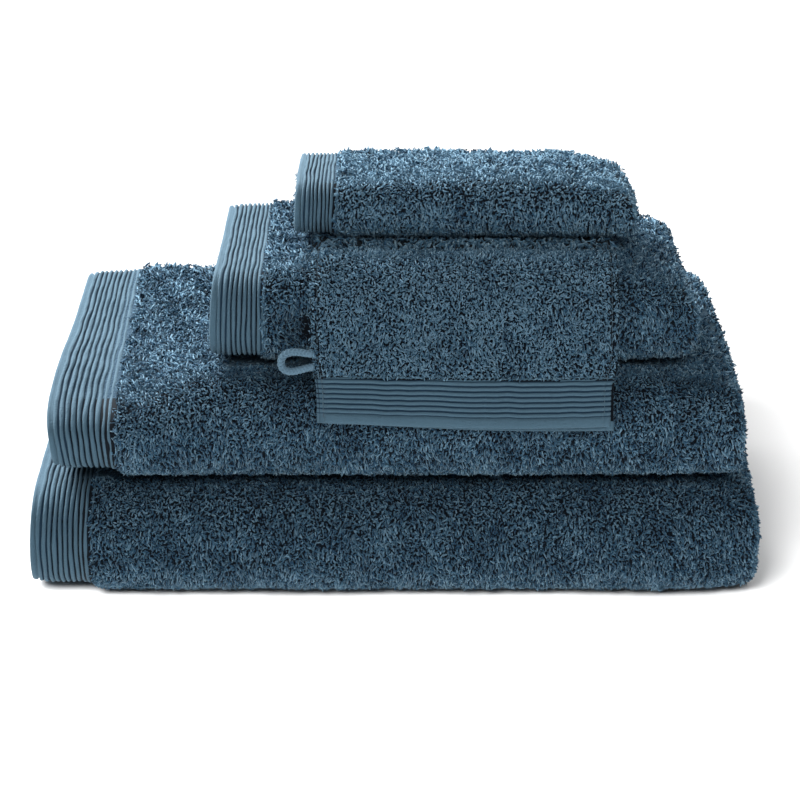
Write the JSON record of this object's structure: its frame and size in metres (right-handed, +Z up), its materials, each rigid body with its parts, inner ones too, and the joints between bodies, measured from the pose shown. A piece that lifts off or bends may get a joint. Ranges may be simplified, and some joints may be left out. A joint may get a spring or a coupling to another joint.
{
  "type": "bath towel set",
  "caption": "Folded terry towels in a stack: bath sheet, bath towel, hand towel and guest towel with ribbed borders, and a wash mitt with a hanging loop draped over the front.",
  "frame": {"origin": "centre of the bounding box at the bottom, on the surface the stack stands on", "axes": "+X along the towels' folded length away from the bordered ends, +Z up, the rounded front folds face -Y"},
  "size_m": [0.3786, 0.2652, 0.212],
  "materials": {
    "terry": "petrol blue cotton terry, looped pile on the faces",
    "ribbed_border": "petrol blue flat-woven cotton band with raised ribs, a little lighter than the terry",
    "hem": "turned and stitched cotton hem or seam, petrol blue",
    "braid": "round braided cotton cord, petrol blue"
  },
  "bodies": {
    "bath_sheet": {"bath_sheet_body": "terry", "bath_sheet_outer_border": "ribbed_border", "bath_sheet_outer_end_hem": "hem", "bath_sheet_inner_border": "ribbed_border", "bath_sheet_inner_end_hem": "hem", "bath_sheet_lower_side_hem": "hem", "bath_sheet_upper_side_hem": "hem"},
    "bath_towel": {"bath_towel_body": "terry", "bath_towel_outer_border": "ribbed_border", "bath_towel_outer_end_hem": "hem", "bath_towel_inner_border": "ribbed_border", "bath_towel_inner_end_hem": "hem", "bath_towel_lower_side_hem": "hem", "bath_towel_upper_side_hem": "hem"},
    "hand_towel": {"hand_towel_body": "terry", "hand_towel_outer_border": "ribbed_border", "hand_towel_outer_end_hem": "hem", "hand_towel_inner_border": "ribbed_border", "hand_towel_inner_end_hem": "hem", "hand_towel_lower_side_hem": "hem", "hand_towel_upper_side_hem": "hem"},
    "mitt": {"mitt_rear_upper_panel": "terry", "mitt_rear_lower_panel": "terry", "mitt_closed_end_seam": "hem"},
    "mitt_flap": {"mitt_front_panel": "terry", "mitt_back_panel": "terry", "mitt_front_border": "ribbed_border", "mitt_back_border": "ribbed_border", "mitt_left_seam": "hem", "mitt_right_seam": "hem", "mitt_hanging_loop": "braid"},
    "guest_towel": {"guest_towel_body": "terry", "guest_towel_outer_border": "ribbed_border", "guest_towel_outer_end_hem": "hem", "guest_towel_lower_side_hem": "hem", "guest_towel_upper_side_hem": "hem"}
  },
  "joints": [
    {"name": "bath_towel_lift", "type": "slide", "parent": "bath_sheet", "child": "bath_towel", "axis": [0, 0, 1], "range_m": [0, 0.12]},
    {"name": "hand_towel_lift", "type": "slide", "parent": "bath_towel", "child": "hand_towel", "axis": [0, 0, 1], "range_m": [0, 0.12]},
    {"name": "mitt_lift", "type": "slide", "parent": "hand_towel", "child": "mitt", "axis": [0, 0, 1], "range_m": [0, 0.12]},
    {"name": "guest_towel_lift", "type": "slide", "parent": "mitt", "child": "guest_towel", "axis": [0, 0, 1], "range_m": [0, 0.12]},
    {"name": "mitt_flap_swing", "type": "hinge", "parent": "mitt", "child": "mitt_flap", "pos_m": [0.035, -0.08365, 0.1797], "axis": [-1, 0, 0], "range_deg": [0, 75]}
  ]
}
